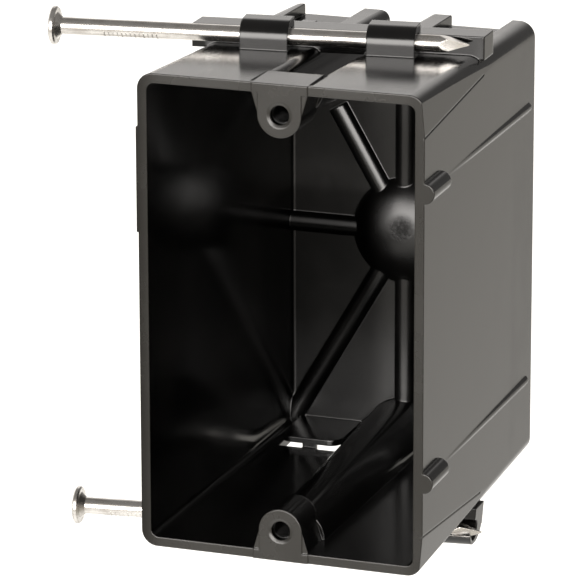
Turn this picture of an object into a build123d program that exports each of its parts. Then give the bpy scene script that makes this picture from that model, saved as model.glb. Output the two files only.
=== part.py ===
from build123d import *
from math import cos, radians, sin, tan
import os

os.makedirs("parts", exist_ok=True)

# Wall box, measured at the open front, in millimetres
box_width = 57.8
box_height = 95.6
box_depth = 73.2
wall = 1.9
back_wall = 2.4
corner_radius = 3.2
inner_radius = 1.6
back_edge_bevel = 0.4
floor_radius = 0.6

# How far each side closes in at the back, so that the moulding leaves its mould
end_draft = 2.3
far_draft = 5.0
stud_draft = 0.2

# Ears that take the device screws, which are 83.34 apart
screw_inset = 6.13
screw_hole_radius = 1.9
screw_bevel = 0.65
screw_bevel_depth = 0.3
ear_radius = 4.4
ear_root_width = 11.3
ear_depth = 9.6
ear_proud = 0.25
ear_top_width = 12.4
ear_top_recess = 0.35
ear_top_start = 1.3

# Channel down the middle of the top and of the bottom, and the hump that it makes inside
channel_radius = 4.0
shoulder_radius = 2.2
shoulder_lift = 0.04
channel_shift = 1.9
hump_front_radius = 6.0
hump_back_radius = 7.7

# Hub and ribs on the inside of the back wall
hub_radius = 11.2
hub_height = 6.6
hub_shift = 2.2
rib_radius = 2.1
diagonal_rib_angle = 30
straight_rib_angles = (0, 90, 180, 270)

# Upper diagonal ribs stop short of the ceiling
upper_rib_length = 29.0

# Cable knockouts: a tongue of thin wall in a recess that is open at the back
knockout_width = 12.9
knockout_start = 56.2
knockout_gap = 0.8
tongue_wall = 1.2
tongue_lead = 0.5
tongue_corner = 2.4
far_knockout = -13.85
stud_knockout = 17.5
bridge_width = 2.9
bridge_length = 1.6

# Nails
nail_length = 83.4
nail_radius = 1.68
nail_head_radius = 3.8
nail_head_thickness = 1.15
nail_neck = 1.0
nail_point_length = 5.8
nail_point_flat = 0.25
nail_clearance = 0.12
nail_angle = 7.5
nail_depth = 32.4
upper_nail_rise = 2.4
lower_nail_rise = 3.85
upper_nail_tip = 26.4
lower_nail_tip = 29.7

# Ledge behind each nail and the brackets that hold it
ledge_height = 3.7
upper_ledge_thickness = 5.8
lower_ledge_thickness = 3.4
bracket_wall = 1.5
bracket_length = 9.6
bracket_spread = 24.9
bracket_shift = -0.9
hook_wall = 0.8
hook_length = 7.0
hook_lip = 0.4
hook_arch = 0.65
hook_corner = 4.2
hook_inset = 0.3
hook_lean = 0.08

# Stud side: stops at the front that set how far the box stands out, and bearing ribs behind them
stop_length = 11.8
stop_radius = 2.0
stop_bevel = 1.1
stop_inset = 19.0
bearing_stand = 0.4
bearing_rib_start = 13.5
bearing_rib_end = 69.0
bearing_rib_radius = 1.1

# Creases that bound the flat of the stud side towards its corners
crease_front_inset = 8.2
crease_back_inset = 4.9
crease_run = 38.0
crease_fall = 0.45
crease_span = 5.0
crease_groove = 0.3

# Low pad on the far side behind the rim
pad_height = 0.35
pad_length = 21.0
pad_rise = 26.5
pad_depth = 11.0

# Sizes that follow from the ones above
half_width = box_width / 2
half_height = box_height / 2
screw_height = half_height - screw_inset
stop_height = half_height - stop_inset
cavity_depth = box_depth - back_wall
overlap = 1.0
grip_radius = nail_radius + nail_clearance
bracket_radius = grip_radius + bracket_wall
hook_radius = grip_radius + hook_wall
bearing_x = half_width + bearing_stand


def level(depth):
    """Plane across the box at a depth behind the open front, with its Y axis up."""
    return Plane.XZ.offset(-depth)


def side_at(side, depth):
    """X of the outer face at a depth: side is 1 at the stud and -1 at the far side."""
    draft = stud_draft if side > 0 else far_draft
    return side * (half_width - draft * depth / box_depth)


def top_at(depth):
    """Height of the outer face of the top wall at a depth."""
    return half_height - end_draft * depth / box_depth


def side_planes(inset):
    """Planes of the four drafted sides, moved in by a wall and facing into the box."""
    across = half_width - inset
    up = half_height - inset
    return [
        Plane(origin=(across, 0, 0), z_dir=(-box_depth, -stud_draft, 0)),
        Plane(origin=(-across, 0, 0), z_dir=(box_depth, -far_draft, 0)),
        Plane(origin=(0, 0, up), z_dir=(0, -end_draft, -box_depth)),
        Plane(origin=(0, 0, -up), z_dir=(0, -end_draft, box_depth)),
    ]


def slide(depth):
    """How far the middle channel has moved towards the stud at a depth."""
    return channel_shift * depth / box_depth


def channel_line(side, depth):
    """Point on the middle line of a channel, which runs in the inner face of the wall."""
    return Vector(slide(depth), depth, side * (top_at(depth) - wall))


# Outer face of the tongues, above the inner face of the wall in front of them by the gap
tongue_height = top_at(knockout_start) - wall - knockout_gap

# Space inside the box, with everything that stands on its walls taken out of it
with BuildPart() as core:
    with Locations((0, cavity_depth / 2, 0)):
        Box(2 * box_width, cavity_depth, 2 * box_height)
    for plane in side_planes(wall):
        split(bisect_by=plane)
    fillet(core.edges().filter_by_position(Axis.Y, overlap, cavity_depth - overlap), inner_radius)
    fillet(core.faces().sort_by(Axis.Y)[-1].edges(), floor_radius)
    # Ears
    for side in (1, -1):
        with BuildSketch(level(0)):
            with Locations((0, side * screw_height)):
                Circle(ear_radius)
            with BuildLine():
                Polyline(
                    (-ear_radius, side * screw_height),
                    (ear_radius, side * screw_height),
                    (ear_root_width / 2, side * (half_height - wall)),
                    (ear_root_width / 2, side * half_height),
                    (-ear_root_width / 2, side * half_height),
                    (-ear_root_width / 2, side * (half_height - wall)),
                    close=True,
                )
            make_face()
        extrude(amount=-ear_depth, mode=Mode.SUBTRACT)
    # Humps along the floor and the ceiling
    for side in (1, -1):
        start = channel_line(side, ear_depth - overlap)
        end = channel_line(side, box_depth)
        with Locations(Plane(origin=(start + end) / 2, z_dir=end - start)):
            Cone(hump_front_radius, hump_back_radius, (end - start).length, mode=Mode.SUBTRACT)
    # Hub and ribs on the back wall
    hub_sphere = (hub_radius**2 + hub_height**2) / (2 * hub_height)
    with Locations((hub_shift, cavity_depth - hub_height + hub_sphere, 0)):
        Sphere(hub_sphere, mode=Mode.SUBTRACT)
    diagonals = [
        turn + lean * diagonal_rib_angle for turn in (90, 270) for lean in (1, -1)
    ]
    for angle in list(straight_rib_angles) + diagonals:
        along = Vector(cos(radians(angle)), 0, sin(radians(angle)))
        short = angle in diagonals and along.Z > 0
        with BuildSketch(Plane(origin=(hub_shift, cavity_depth, 0), x_dir=(0, 1, 0), z_dir=along)):
            Circle(rib_radius)
        extrude(amount=upper_rib_length if short else box_height, mode=Mode.SUBTRACT)
    # Inner faces of the knockout tongues
    for side in (1, -1):
        for middle in (far_knockout, stud_knockout):
            with BuildSketch(Plane.XY.offset(side * (tongue_height - tongue_wall))):
                with Locations((middle, knockout_start + tongue_lead + box_depth / 2)):
                    RectangleRounded(knockout_width, box_depth, tongue_corner)
            extrude(amount=side * box_height, mode=Mode.SUBTRACT)

# Outside of the box
with BuildPart() as envelope:
    with Locations((0, (ear_proud + box_depth) / 2, 0)):
        Box(2 * box_width, box_depth - ear_proud, 2 * box_height)
    for plane in side_planes(0):
        split(bisect_by=plane)
    fillet(envelope.edges().filter_by_position(Axis.Y, overlap, box_depth - overlap), corner_radius)
    chamfer(envelope.faces().sort_by(Axis.Y)[-1].edges(), back_edge_bevel)
    # Corners of the stud side fall away a little beyond the creases
    for side in (1, -1):
        start = Vector(side_at(1, 0), 0, side * (half_height - crease_front_inset))
        end = Vector(side_at(1, crease_run), crease_run, side * (half_height - crease_back_inset))
        fall = Vector(-crease_fall, 0, side * crease_span)
        split(bisect_by=Plane(origin=start, z_dir=fall.cross(end - start) * side))
        with BuildSketch(Plane(origin=start, x_dir=(1, 0, 0), z_dir=end - start)):
            Rectangle(crease_groove, crease_groove, rotation=45)
        extrude(amount=(end - start).length, mode=Mode.SUBTRACT)
    # Tops of the ears, a little lower than the wall round them
    for side in (1, -1):
        with BuildSketch(Plane.YZ.offset(-ear_top_width / 2)):
            with BuildLine():
                Polyline(
                    (ear_top_start, side * (top_at(ear_top_start) - ear_top_recess)),
                    (ear_depth + overlap, side * (top_at(ear_depth + overlap) - ear_top_recess)),
                    (ear_depth + overlap, side * box_height),
                    (ear_top_start, side * box_height),
                    close=True,
                )
            make_face()
        extrude(amount=ear_top_width, mode=Mode.SUBTRACT)
    # Channels: a round bottom between two rounded shoulders
    for side in (1, -1):
        start = Vector(slide(ear_depth), ear_depth, side * (top_at(ear_depth) + shoulder_lift))
        reach = box_depth + overlap
        end = Vector(slide(reach), reach, side * (top_at(reach) + shoulder_lift))
        spread = channel_radius + shoulder_radius
        bow = shoulder_radius * (1 - sin(radians(45)))
        with BuildSketch(Plane(origin=start, x_dir=(1, 0, 0), z_dir=end - start)):
            with BuildLine():
                for lean in (1, -1):
                    ThreePointArc(
                        (lean * spread, 0),
                        (lean * (channel_radius + bow), side * bow),
                        (lean * channel_radius, side * shoulder_radius),
                    )
                ThreePointArc(
                    (-channel_radius, side * shoulder_radius),
                    (0, side * spread),
                    (channel_radius, side * shoulder_radius),
                )
                Polyline((spread, 0), (spread, -side * wall), (-spread, -side * wall), (-spread, 0))
            make_face()
        extrude(amount=(end - start).length, mode=Mode.SUBTRACT)

# Everything between the two sides: it trims the ledges, whose far ends stand level with the rim
with BuildPart() as side_trim:
    with BuildSketch(Plane.XY.offset(-box_height)):
        with BuildLine():
            Polyline(
                (-half_width, 0),
                (half_width, 0),
                (side_at(1, box_depth), box_depth),
                (-half_width, box_depth),
                close=True,
            )
        make_face()
    extrude(amount=2 * box_height)


def nail_rise(side):
    """Distance from the wall to the middle of the nail beside it."""
    return upper_nail_rise if side > 0 else lower_nail_rise


def nail_line(side, reach=0.0):
    """Plane across a nail where it stands at X = reach: local X goes back, local Y goes up."""
    turn = radians(nail_angle)
    return Plane(
        origin=(reach, nail_depth + reach * tan(turn), side * (top_at(nail_depth) + nail_rise(side))),
        x_dir=(-sin(turn), cos(turn), 0),
        z_dir=(cos(turn), sin(turn), 0),
    )


# Ledges, brackets and the hook
with BuildPart() as nail_holders:
    for side, thickness in ((1, upper_ledge_thickness), (-1, lower_ledge_thickness)):
        rise = nail_rise(side)
        # Ledge right across the wall
        with BuildSketch(nail_line(side, -box_width)):
            with Locations((grip_radius + thickness / 2, side * ((ledge_height - overlap) / 2 - rise))):
                Rectangle(thickness, ledge_height + overlap)
        extrude(amount=2 * box_width)
        # Brackets that wrap the nail
        for place in (-bracket_spread / 2, bracket_spread / 2) if side > 0 else (-bracket_spread / 2,):
            with BuildSketch(nail_line(side, place + bracket_shift - bracket_length / 2)):
                Circle(bracket_radius)
                with Locations((0, -side * (rise + overlap) / 2)):
                    Rectangle(2 * bracket_radius, rise + overlap)
                with Locations((bracket_radius / 2, side * bracket_radius / 2)):
                    Rectangle(bracket_radius, bracket_radius)
                Circle(grip_radius, mode=Mode.SUBTRACT)
            extrude(amount=bracket_length)
    # Hook under the point of the lower nail, open towards the front
    hook_back = grip_radius + lower_ledge_thickness
    hook_top = lower_nail_rise + overlap
    with BuildSketch(nail_line(-1, half_width - hook_length)):
        with Locations((hook_back / 2, (hook_top - hook_radius) / 2)):
            Rectangle(hook_back, hook_top + hook_radius)
        fillet(vertices().sort_by(Axis.Y)[:2].sort_by(Axis.X)[-1], hook_corner)
        Circle(hook_radius)
        Circle(grip_radius, mode=Mode.SUBTRACT)
        with Locations((0, hook_arch)):
            Circle(grip_radius, mode=Mode.SUBTRACT)
        with Locations((0, hook_arch / 2)):
            Rectangle(2 * grip_radius, hook_arch, mode=Mode.SUBTRACT)
        with Locations((-box_width / 2, box_width / 2 - hook_lip)):
            Rectangle(box_width, box_width, mode=Mode.SUBTRACT)
    extrude(amount=2 * hook_length)
    add(side_trim.part, mode=Mode.INTERSECT)
    # The hook's end leans in a little towards its bottom
    split(
        bisect_by=Plane(
            origin=(side_at(1, nail_depth) - hook_inset, nail_depth, -top_at(nail_depth)),
            z_dir=(-1, -stud_draft / box_depth, hook_lean),
        )
    )

# The moulding
with BuildPart() as outlet_box:
    add(envelope.part)
    # Ear faces stand a little proud of the rim
    for side in (1, -1):
        with BuildSketch(level(0)):
            with Locations((0, side * screw_height)):
                Circle(ear_radius)
            with Locations((0, side * (screw_height + half_height) / 2)):
                Rectangle(2 * ear_radius, half_height - screw_height)
            with Locations((0, side * (half_height - wall / 2))):
                Rectangle(ear_root_width, wall)
        extrude(amount=-ear_depth)
    # Recesses behind the knockout tongues
    for side in (1, -1):
        for middle in (far_knockout, stud_knockout):
            with BuildSketch(Plane.XY.offset(side * tongue_height)):
                with Locations((middle, knockout_start + box_depth / 2)):
                    Rectangle(knockout_width, box_depth)
                with Locations((middle, knockout_start + bridge_length / 2)):
                    Rectangle(bridge_width, bridge_length, mode=Mode.SUBTRACT)
            extrude(amount=side * box_height, mode=Mode.SUBTRACT)
    add(nail_holders.part)
    # Depth stops and bearing ribs
    for side in (1, -1):
        with BuildSketch(level(ear_proud)):
            with Locations((half_width, side * stop_height)):
                Circle(stop_radius)
        extrude(amount=ear_proud + stop_bevel - stop_length)
        stop_end = Vector(half_width, stop_length - stop_bevel / 2, side * stop_height)
        with Locations(Plane(origin=stop_end, z_dir=(0, 1, 0))):
            Cone(stop_radius, stop_radius - stop_bevel, stop_bevel)
        rib_x = side_at(1, bearing_rib_start) - bearing_rib_radius
        start = Vector(rib_x, bearing_rib_start, side * stop_height)
        end = Vector(bearing_x - bearing_rib_radius, bearing_rib_end, side * stop_height)
        with BuildSketch(Plane(origin=start, z_dir=end - start)):
            Circle(bearing_rib_radius)
        extrude(amount=(end - start).length)
    # Pad on the far side
    with Locations((-half_width - pad_height + wall / 2, ear_proud + pad_depth / 2, pad_rise)):
        Box(wall, pad_depth, pad_length)
    add(core.part, mode=Mode.SUBTRACT)
    # Holes for the device screws, with a bevel at the front
    with Locations(Plane.XZ):
        with GridLocations(2 * screw_height, 2 * screw_height, 1, 2):
            Hole(screw_hole_radius, depth=ear_depth - overlap)
    with Locations(Plane.XZ.offset(-screw_bevel_depth / 2)):
        with GridLocations(2 * screw_height, 2 * screw_height, 1, 2):
            Cone(
                screw_hole_radius,
                screw_hole_radius + screw_bevel,
                screw_bevel_depth,
                mode=Mode.SUBTRACT,
            )

# Nails
nails = {}
for name, side, tip in (("upper_nail", 1, upper_nail_tip), ("lower_nail", -1, lower_nail_tip)):
    tip_plane = nail_line(side, tip)
    shank_length = nail_length - nail_head_thickness - nail_point_length
    with BuildPart() as nail:
        # Diamond point, four facets on the end of the shank
        with BuildSketch(tip_plane.offset(-nail_point_length)):
            Rectangle(2 * nail_radius, 2 * nail_radius)
        with BuildSketch(tip_plane):
            Rectangle(nail_point_flat, nail_point_flat)
        loft()
        with BuildSketch(tip_plane.offset(-nail_point_length)):
            Circle(nail_radius)
        extrude(amount=nail_point_length, mode=Mode.INTERSECT)
        # Shank
        with BuildSketch(tip_plane.offset(-nail_point_length)):
            Circle(nail_radius)
        extrude(amount=-shank_length)
        # Neck that widens into the head
        with Locations(tip_plane.offset(nail_head_thickness + nail_neck / 2 - nail_length)):
            Cone(nail_radius + nail_neck, nail_radius, nail_neck)
        # Head
        with BuildSketch(tip_plane.offset(-nail_length)):
            Circle(nail_head_radius)
        extrude(amount=nail_head_thickness)
        rims = nail.edges().filter_by(GeomType.CIRCLE).sort_by(SortBy.LENGTH)[-2:]
        chamfer(rims, nail_head_thickness / 4)
    nails[name] = nail.part

for name, solid in {"outlet_box": outlet_box.part, **nails}.items():
    solid.label = name
    export_step(solid, f"parts/{name}.step")
    print(name, solid.is_valid, len(solid.solids()), round(solid.volume, 1))
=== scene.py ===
import bpy
from math import cos, radians, sin, tan
from mathutils import Matrix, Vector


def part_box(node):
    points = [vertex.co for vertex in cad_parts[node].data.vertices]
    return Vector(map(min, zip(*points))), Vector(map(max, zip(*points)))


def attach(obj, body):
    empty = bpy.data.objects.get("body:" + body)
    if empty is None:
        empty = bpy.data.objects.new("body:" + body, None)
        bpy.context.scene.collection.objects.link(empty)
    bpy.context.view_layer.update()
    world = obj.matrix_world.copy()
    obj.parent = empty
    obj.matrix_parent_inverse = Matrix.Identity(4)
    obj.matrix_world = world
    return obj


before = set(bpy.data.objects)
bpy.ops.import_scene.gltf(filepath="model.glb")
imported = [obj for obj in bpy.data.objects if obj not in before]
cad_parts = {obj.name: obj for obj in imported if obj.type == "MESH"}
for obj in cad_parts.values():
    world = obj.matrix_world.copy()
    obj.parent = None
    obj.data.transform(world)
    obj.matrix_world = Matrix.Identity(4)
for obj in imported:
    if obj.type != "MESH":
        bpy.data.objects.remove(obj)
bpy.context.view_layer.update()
print("frame loaded:", sorted(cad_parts))


class Wire:
    # a socket that can be used in sums
    def __init__(self, tree, socket):
        self.tree = tree
        self.socket = socket

    def make(self, kind, settings=None, sockets=None, out=0):
        node = self.tree.nodes.new(kind)
        for key, value in (settings or {}).items():
            setattr(node, key, value)
        for key, value in (sockets or {}).items():
            if isinstance(value, Wire):
                self.tree.links.new(value.socket, node.inputs[key])
            else:
                node.inputs[key].default_value = value
        return Wire(self.tree, node.outputs[out]) if len(node.outputs) else node

    def maths(self, operation, *values):
        return self.make("ShaderNodeMath", {"operation": operation}, dict(enumerate(values)))

    def __add__(self, other):
        return self.maths("ADD", self, other)

    def __radd__(self, other):
        return self.maths("ADD", other, self)

    def __sub__(self, other):
        return self.maths("SUBTRACT", self, other)

    def __rsub__(self, other):
        return self.maths("SUBTRACT", other, self)

    def __mul__(self, other):
        return self.maths("MULTIPLY", self, other)

    def __rmul__(self, other):
        return self.maths("MULTIPLY", other, self)

    def __truediv__(self, other):
        return self.maths("DIVIDE", self, other)

    def __rtruediv__(self, other):
        return self.maths("DIVIDE", other, self)

    def __pow__(self, other):
        return self.maths("POWER", self, other)

    def __abs__(self):
        return self.maths("ABSOLUTE", self)

    def vector(self, operation, *values, out=0):
        return self.make("ShaderNodeVectorMath", {"operation": operation},
                         dict(enumerate(values)), out)

    def axes(self):
        separate = self.make("ShaderNodeSeparateXYZ", sockets={0: self}).socket.node
        return [Wire(self.tree, part) for part in separate.outputs]

    def rise(self, low, high):
        return self.make("ShaderNodeMapRange", {"interpolation_type": "SMOOTHSTEP"},
                         {"Value": self, "From Min": low, "From Max": high})

    def fall(self, low, high):
        return 1 - self.rise(low, high)

    def between(self, start, end):
        # full from the end of start to the beginning of end
        return self.rise(*start) * self.fall(*end)

    def noise(self, size, detail=4.0, roughness=0.6):
        return self.make("ShaderNodeTexNoise", sockets={
            "Vector": self, "Scale": 1 / size, "Detail": detail, "Roughness": roughness})

    def blend(self, low, high):
        # a colour that goes from low to high as this mask grows
        return self.make("ShaderNodeMix", {"data_type": "RGBA"}, {0: self, 6: low, 7: high}, out=2)

    def bump(self, height):
        # this normal with a relief in metres
        return self.make("ShaderNodeBump", sockets={
            "Strength": 1.0, "Distance": 1.0, "Height": height, "Normal": self})


def startMaterial(name):
    # an empty material and a wire with its object coordinates
    material = bpy.data.materials.new(name)
    material.use_nodes = True
    material.node_tree.nodes.clear()
    place = Wire(material.node_tree, None).make("ShaderNodeTexCoord", out="Object")
    return material, place


def closeMaterial(place, sockets):
    shader = place.make("ShaderNodeBsdfPrincipled", sockets=sockets)
    place.make("ShaderNodeOutputMaterial", sockets={"Surface": shader})


plastic = {
    "dark": (0.0008, 0.0008, 0.0008, 1),
    "pale": (0.0026, 0.0024, 0.0022, 1),  # thin cloudy bloom on the skin
    "refraction": 1.52,
    "roughLow": 0.13,
    "roughHigh": 0.22,
    "cloudSize": 0.022,
    "cloudEdges": (0.38, 0.70),  # levels of the noise where the bloom starts and is full
    "cloudRough": 0.7,  # shares of the step from roughLow to roughHigh
    "skinRough": 0.3,
    "skinSize": 0.0016,  # ripple left by the mould
    "skinHeight": 0.000006,
    "edgeRadius": 0.00042,  # softness of the moulded edges
    "edgeSamples": 8,
    "rim": (0.018, 0.0170, 0.0150, 1),  # lighter colour on the front face
    "rimDepth": 0.00045,  # metres behind the front
    "rimFade": 0.6,  # share of that depth before the lighter colour fades
    "rimRough": 0.10,
    "leftRim": (-0.030, -0.024),  # where painted shade takes the gloss off the rim's left side
    "leftRimShade": 0.9,
    # where a weaker painted shade takes the gloss off the rim's right side
    "rightRim": (0.024, 0.028),
    "rightRimShade": 0.25,
    "gatePlace": (0.0034, 0.0645, 0.0021),  # where the plastic was let in, on the hub
    "gateSize": 0.0036,
    "gateCore": 0.2,  # share of that size where the mark is full
    "gateHalo": 3.0,  # times that size, for the dull ring round the mark
    "gateGrain": 0.0006,
    "gateMottle": (0.35, 0.55),
    "gateHeight": 0.00022,
    "gateRough": 0.30,
    "haloRough": 0.08,
    # painted shade on the gate mark's mottle, over its real roughness and relief
    "gateShade": 0.5,
    "ribDepth": (0.056, 0.060),  # where the ribs and the hub begin
    "ribFoot": (0.0696, 0.0702),  # where they meet the back wall
    "ribFacing": (0.2, 0.7),  # how much a face looks to the front before it is bent
    "ribFlatness": 0.60,
    "ribRough": 0.05,
    "holeHeight": 0.04167,  # of the screw holes above and below the middle
    "holeRadius": 0.0019,
    "holeEdge": 0.93,  # share of the radius before the painted shade fades
    "holeMouth": (0.001, 0.0016),
    "holeEnd": (0.0096, 0.010),
    "shade": 0.85,  # how much of the gloss the painted shade takes off, in unlit hollows, on the gate mark and on the rim's sides
    "unlitDepth": ((0.050, 0.058), (0.0712, 0.0718)),  # painted shade on the lower left of the back wall
    "unlitAcross": ((-0.0238, -0.0233), (-0.006, -0.001)),
    "unlitUp": ((-0.040, -0.036), (0.006, 0.009)),
    "unlitWall": 0.5,  # shares of the painted shade there
    "unlitRib": 0.35,  # more painted shade on the ribs
}


def hollowShade(across, depth, up):
    # painted shade in the screw holes, and on the unlit lower left of the back wall with its ribs
    offCentre = abs(up) - plastic["holeHeight"]
    fromHole = (across * across + offCentre * offCentre) ** 0.5
    hole = (depth.between(plastic["holeMouth"], plastic["holeEnd"])
            * fromHole.fall(plastic["holeEdge"] * plastic["holeRadius"], plastic["holeRadius"]))
    # painted shade on the lower left of the back wall and its ribs
    unlit = (depth.between(*plastic["unlitDepth"]) * across.between(*plastic["unlitAcross"])
             * up.between(*plastic["unlitUp"]))
    onRib = depth.fall(*plastic["ribFoot"])
    return hole + (plastic["unlitWall"] + plastic["unlitRib"] * onRib) * unlit


def rimShade(across, frontFace):
    # painted shade on the left and right sides of the front face
    left = across.fall(*plastic["leftRim"])
    right = across.rise(*plastic["rightRim"])
    return frontFace * (plastic["leftRimShade"] * left + plastic["rightRimShade"] * right)


def mouldedNormal(place, inner):
    # soft edges, and ribs that look a little more to the front than they are
    edge = place.make("ShaderNodeBevel", {"samples": plastic["edgeSamples"]},
                      {"Radius": plastic["edgeRadius"]})
    facing = (-1 * edge.axes()[1]).rise(*plastic["ribFacing"])
    towardsFront = place.make("ShaderNodeCombineXYZ", sockets={
        "Y": -plastic["ribFlatness"] * inner * facing})
    return place.vector("NORMALIZE", place.vector("ADD", edge, towardsFront))


def mouldedPlastic():
    material, place = startMaterial("moulded plastic")
    across, depth, up = place.axes()
    bloom = place.noise(plastic["cloudSize"], detail=5.0).rise(*plastic["cloudEdges"])
    grain = place.noise(plastic["skinSize"], detail=3.0, roughness=0.5)
    frontFace = depth.fall(plastic["rimFade"] * plastic["rimDepth"], plastic["rimDepth"])
    inner = depth.rise(*plastic["ribDepth"])
    colour = frontFace.blend(bloom.blend(plastic["dark"], plastic["pale"]), plastic["rim"])

    fromGate = place.vector("DISTANCE", place, plastic["gatePlace"], out="Value")
    gate = fromGate.fall(plastic["gateCore"] * plastic["gateSize"], plastic["gateSize"])
    halo = fromGate.fall(plastic["gateSize"], plastic["gateHalo"] * plastic["gateSize"])
    mottle = place.noise(plastic["gateGrain"], detail=3.0, roughness=0.7)

    # painted shade: Metallic over the near-black colour takes the gloss off the gate mark, the
    # hollows and the rim's sides
    shade = plastic["shade"] * (plastic["gateShade"] * gate * mottle.rise(*plastic["gateMottle"])
                                + hollowShade(across, depth, up) + rimShade(across, frontFace))
    step = plastic["roughHigh"] - plastic["roughLow"]
    rough = (plastic["roughLow"]
             + step * (plastic["cloudRough"] * bloom + plastic["skinRough"] * grain)
             + plastic["gateRough"] * gate + plastic["haloRough"] * halo
             + plastic["rimRough"] * frontFace + plastic["ribRough"] * inner)
    relief = plastic["skinHeight"] * grain + plastic["gateHeight"] * gate * mottle
    closeMaterial(place, {
        "Base Color": colour, "Roughness": rough, "Metallic": shade,
        "Normal": mouldedNormal(place, inner).bump(relief), "IOR": plastic["refraction"]})
    return material


steel = {
    "bright": (0.72, 0.70, 0.67, 1),
    "dull": (0.46, 0.43, 0.40, 1),
    "drawLength": 0.014,  # streaks left by drawing the wire
    "drawWidth": 0.0006,
    "stainSize": 0.0038,
    "streakShare": 0.5,  # the rest of the dull patches are stains
    "dullEdges": (0.42, 0.66),
    "roughLow": 0.20,
    "roughHigh": 0.36,
    "dullRough": 0.6,  # shares of the step between them
    "streakRough": 0.4,
    "streakHeight": 0.000003,
    "edgeRadius": 0.00012,
    "edgeSamples": 6,
    "lean": 7.5,  # degrees, the nails' turn about the upright
}


def nailSteel():
    material, place = startMaterial("nail steel")
    turned = place.make("ShaderNodeMapping", sockets={
        "Vector": place, "Rotation": (0, 0, radians(-steel["lean"]))})
    stretched = place.make("ShaderNodeMapping", sockets={
        "Vector": turned,
        "Scale": (1 / steel["drawLength"], 1 / steel["drawWidth"], 1 / steel["drawWidth"])})
    streaks = stretched.noise(size=1.0)
    stains = place.noise(steel["stainSize"], roughness=0.65)
    mixed = steel["streakShare"] * streaks + (1 - steel["streakShare"]) * stains
    dull = mixed.rise(*steel["dullEdges"])
    step = steel["roughHigh"] - steel["roughLow"]
    rough = steel["roughLow"] + step * (steel["dullRough"] * dull + steel["streakRough"] * streaks)
    edge = place.make("ShaderNodeBevel", {"samples": steel["edgeSamples"]},
                      {"Radius": steel["edgeRadius"]})
    closeMaterial(place, {
        "Base Color": dull.blend(steel["bright"], steel["dull"]), "Metallic": 1.0,
        "Roughness": rough, "Normal": edge.bump(steel["streakHeight"] * streaks)})
    return material


boxPlastic = mouldedPlastic()
brightSteel = nailSteel()
for name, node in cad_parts.items():
    node.data.materials.clear()
    node.data.materials.append(brightSteel if "nail" in name else boxPlastic)
print("materials made")


def startTree(name, sizes):
    # a geometry tree with an input for each size, and its wires by name
    tree = bpy.data.node_groups.new(name, "GeometryNodeTree")
    tree.interface.new_socket("Geometry", in_out="OUTPUT", socket_type="NodeSocketGeometry")
    for key, value in sizes.items():
        kind = "NodeSocketInt" if isinstance(value, int) else "NodeSocketFloat"
        tree.interface.new_socket(key, in_out="INPUT", socket_type=kind)
    group = tree.nodes.new("NodeGroupInput")
    return tree, {key: Wire(tree, group.outputs[key]) for key in sizes}


def closeTree(geometry, material):
    solid = geometry.make("GeometryNodeRealizeInstances", sockets={0: geometry})
    smooth = solid.make("GeometryNodeSetShadeSmooth", sockets={0: solid})
    done = smooth.make("GeometryNodeSetMaterial", sockets={0: smooth, "Material": material})
    done.make("NodeGroupOutput", sockets={0: done})


def growPiece(name, tree, sizes):
    # run the tree once and keep its result as a plain mesh
    piece = bpy.data.objects.new(name, bpy.data.meshes.new(name + " seed"))
    bpy.context.scene.collection.objects.link(piece)
    modifier = piece.modifiers.new(name, "NODES")
    modifier.node_group = tree
    for item in tree.interface.items_tree:
        if item.in_out == "INPUT":
            modifier[item.identifier] = sizes[item.name]
    evaluated = piece.evaluated_get(bpy.context.evaluated_depsgraph_get())
    mesh = bpy.data.meshes.new_from_object(evaluated)
    piece.modifiers.remove(modifier)
    piece.data = mesh
    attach(piece, "root")
    print(name, len(mesh.polygons), "faces")


thread = {
    "Radius": 0.00186,  # middle of the ridge, just inside the hole's wall
    "Ridge": 0.00022,
    "Pitch": 0.000794,
    "Length": 0.0066,
    "Start": 0.0013,  # behind the front of the ear
    "Height": 0.04167,  # of the upper hole above the middle
    "Steps": 30,
    "Sides": 6,
}


def threadTree():
    tree, sizes = startTree("screw thread", thread)
    line = sizes["Radius"].make("GeometryNodeCurveSpiral", sockets={
        "Resolution": sizes["Steps"], "Rotations": sizes["Length"] / sizes["Pitch"],
        "Start Radius": sizes["Radius"], "End Radius": sizes["Radius"],
        "Height": sizes["Length"]})
    profile = line.make("GeometryNodeCurvePrimitiveCircle", sockets={
        "Resolution": sizes["Sides"], "Radius": sizes["Ridge"]})
    ridge = line.make("GeometryNodeCurveToMesh", sockets={"Curve": line, "Profile Curve": profile})
    low = line.make("ShaderNodeCombineXYZ", sockets={
        "Y": sizes["Start"], "Z": -1 * sizes["Height"]})
    step = line.make("ShaderNodeCombineXYZ", sockets={"Z": 2 * sizes["Height"]})
    holes = line.make("GeometryNodeMeshLine", sockets={
        "Count": 2, "Start Location": low, "Offset": step})
    turn = line.make("FunctionNodeEulerToRotation", sockets={"Euler": (radians(-90), 0, 0)})
    both = line.make("GeometryNodeInstanceOnPoints", sockets={
        "Points": holes, "Instance": ridge, "Rotation": turn})
    closeTree(both, boxPlastic)
    return tree


growPiece("screw_threads", threadTree(), thread)

grip = {
    "Radius": 0.00166,
    "Tooth": 0.00012,
    "Pitch": 0.00088,
    "Reach": 0.0455,  # of the first tooth, to the far side of the box's middle
    "Depth": 0.0324,  # of the nail's axis where it passes the middle
    "Level": 0.0,  # of the nail's axis, set for each nail below
    "Sweep": 150.0,  # degrees round the underside
    "Unevenness": 0.03,
    "Steps": 14,
    "Sides": 6,
    "Teeth": 13,
    "Seed": 7,
}


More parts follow.
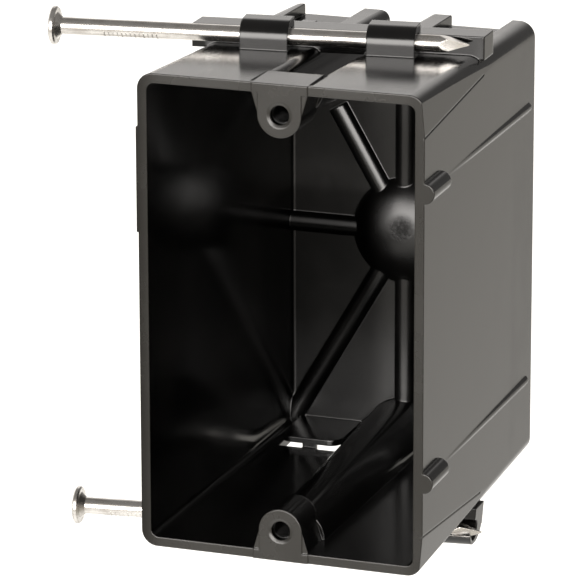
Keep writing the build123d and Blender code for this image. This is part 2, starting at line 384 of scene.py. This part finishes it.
def gripTree():
    tree, sizes = startTree("grip teeth", grip)
    lean = radians(steel["lean"])
    sweep = sizes["Sweep"] * radians(1)
    arc = sweep.make("GeometryNodeCurveArc", sockets={
        "Resolution": sizes["Steps"], "Radius": sizes["Radius"],
        "Start Angle": -0.5 * sweep, "Sweep Angle": sweep})
    profile = arc.make("GeometryNodeCurvePrimitiveCircle", sockets={
        "Resolution": sizes["Sides"], "Radius": sizes["Tooth"]})
    tooth = arc.make("GeometryNodeCurveToMesh", sockets={
        "Curve": arc, "Profile Curve": profile, "Fill Caps": True})
    first = arc.make("ShaderNodeCombineXYZ", sockets={
        "X": -1 * sizes["Reach"], "Y": sizes["Depth"] - sizes["Reach"] * tan(lean),
        "Z": sizes["Level"]})
    step = arc.make("ShaderNodeCombineXYZ", sockets={
        "X": sizes["Pitch"] * cos(lean), "Y": sizes["Pitch"] * sin(lean)})
    row = arc.make("GeometryNodeMeshLine", sockets={
        "Count": sizes["Teeth"], "Start Location": first, "Offset": step})
    turn = arc.make("FunctionNodeEulerToRotation", sockets={"Euler": (0, radians(90), lean)})
    size = arc.make("FunctionNodeRandomValue", {"data_type": "FLOAT"}, {
        2: 1 - sizes["Unevenness"], 3: 1 + sizes["Unevenness"], "Seed": sizes["Seed"]}, out=1)
    scale = arc.make("ShaderNodeCombineXYZ", sockets={"X": size, "Y": size, "Z": 1.0})
    teeth = arc.make("GeometryNodeInstanceOnPoints", sockets={
        "Points": row, "Instance": tooth, "Rotation": turn, "Scale": scale})
    closeTree(teeth, brightSteel)
    return tree


teethTree = gripTree()
for name in ("upper_nail", "lower_nail"):
    low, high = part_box(name)
    growPiece(name.replace("_nail", "_grip_teeth"), teethTree,
              grip | {"Level": (low[2] + high[2]) / 2})

studio = {
    "tint": (1.0, 0.965, 0.93, 1),
    "dim": 0.25,  # ceiling and sides of the room
    "wall": 0.95,  # pale wall behind on the left, low down
    "wallBack": (-0.2, 0.6),  # limits are parts of a direction of length 1
    "wallTop": (0.40, 0.75),
    "wallRight": (-0.15, 0.20),
    "box": 10.6,  # soft box in front
    "boxFoot": (-0.26, 0.04),
    "boxTop": (0.32, 0.52),
    "boxSide": (0.42, 0.56),
    "boxBack": (-0.60, -0.15),
}


def softSky():
    world = bpy.data.worlds.new("studio")
    world.use_nodes = True
    world.node_tree.nodes.clear()
    way = Wire(world.node_tree, None).make("ShaderNodeTexCoord", out="Generated")
    across, back, up = way.axes()
    wall = (back.rise(*studio["wallBack"]) * up.fall(*studio["wallTop"])
            * across.fall(*studio["wallRight"]))
    box = (up.between(studio["boxFoot"], studio["boxTop"])
           * abs(across).fall(*studio["boxSide"]) * back.fall(*studio["boxBack"]))
    glow = studio["dim"] + studio["wall"] * wall + studio["box"] * box
    shader = way.make("ShaderNodeBackground", sockets={"Color": studio["tint"], "Strength": glow})
    way.make("ShaderNodeOutputWorld", sockets={"Surface": shader})
    bpy.context.scene.world = world


ground = {
    "drop": 0.35,  # metres below the middle of the box
    "size": 9.0,
    "colour": (0.70, 0.67, 0.595, 1),
    "roughness": 0.9,
    "glow": 0.70,  # light that it gives off where a mask is 1
    "leftEdge": (-0.15, 0.50),  # painted light: the left side glows
    "frontEdge": (-0.30, 0.50),  # and less of it in front
    "frontShare": 0.25,
    "backShare": 0.75,
    "patch": 1.1,  # painted pool of light on the near floor in front, for the lower half of the hub
    "patchBack": -0.25,
    "patchReach": (0.15, 0.60),
    # painted light at the back of the floor
    "rear": 0.32,
    "rearEdge": (0.20, 0.60),
}


def paleFloor():
    half = ground["size"] / 2
    level = -ground["drop"]
    corners = [(half * x, half * y, level) for x, y in ((-1, -1), (1, -1), (1, 1), (-1, 1))]
    mesh = bpy.data.meshes.new("floor")
    mesh.from_pydata(corners, [], [(0, 1, 2, 3)])
    floorObject = bpy.data.objects.new("floor", mesh)
    bpy.context.scene.collection.objects.link(floorObject)
    material, place = startMaterial("pale floor")
    across, back, _ = place.axes()
    share = ground["frontShare"] + ground["backShare"] * back.rise(*ground["frontEdge"])
    fromPatch = place.vector("DISTANCE", place, (0.0, ground["patchBack"], level), out="Value")
    # painted light: the floor glows brighter on the left, at the back and in a pool in front
    glow = (across.fall(*ground["leftEdge"]) * share
            + ground["patch"] * fromPatch.fall(*ground["patchReach"])
            + ground["rear"] * back.rise(*ground["rearEdge"]))
    light = place.make("ShaderNodeCombineColor", sockets={0: glow, 1: glow, 2: glow})
    closeMaterial(place, {
        "Base Color": ground["colour"], "Roughness": ground["roughness"],
        "Emission Color": light, "Emission Strength": ground["glow"]})
    mesh.materials.append(material)


softSky()
paleFloor()
bpy.context.scene.view_settings.view_transform = "Standard"
print("studio lit")

lens = {
    "yaw": 19.49,  # fitted to the photo's edges
    "pitch": 16.78,
    "roll": -0.13,
    "place": (0.2967, -0.8323, 0.2737),
    "focalPixels": 4827,
    "framePixels": 580,
    "sensor": 36.0,
    "near": 0.05,
    "far": 30,
}


def addCamera():
    data = bpy.data.cameras.new("camera")
    data.sensor_width = lens["sensor"]
    data.lens = lens["focalPixels"] * lens["sensor"] / lens["framePixels"]
    data.clip_start = lens["near"]
    data.clip_end = lens["far"]
    cameraObject = bpy.data.objects.new("camera", data)
    turn = (Matrix.Rotation(radians(lens["yaw"]), 3, "Z")
            @ Matrix.Rotation(radians(90 - lens["pitch"]), 3, "X")
            @ Matrix.Rotation(radians(lens["roll"]), 3, "Z"))
    cameraObject.matrix_world = Matrix.Translation(lens["place"]) @ turn.to_4x4()
    bpy.context.scene.collection.objects.link(cameraObject)
    bpy.context.scene.camera = cameraObject


addCamera()
print("camera placed")
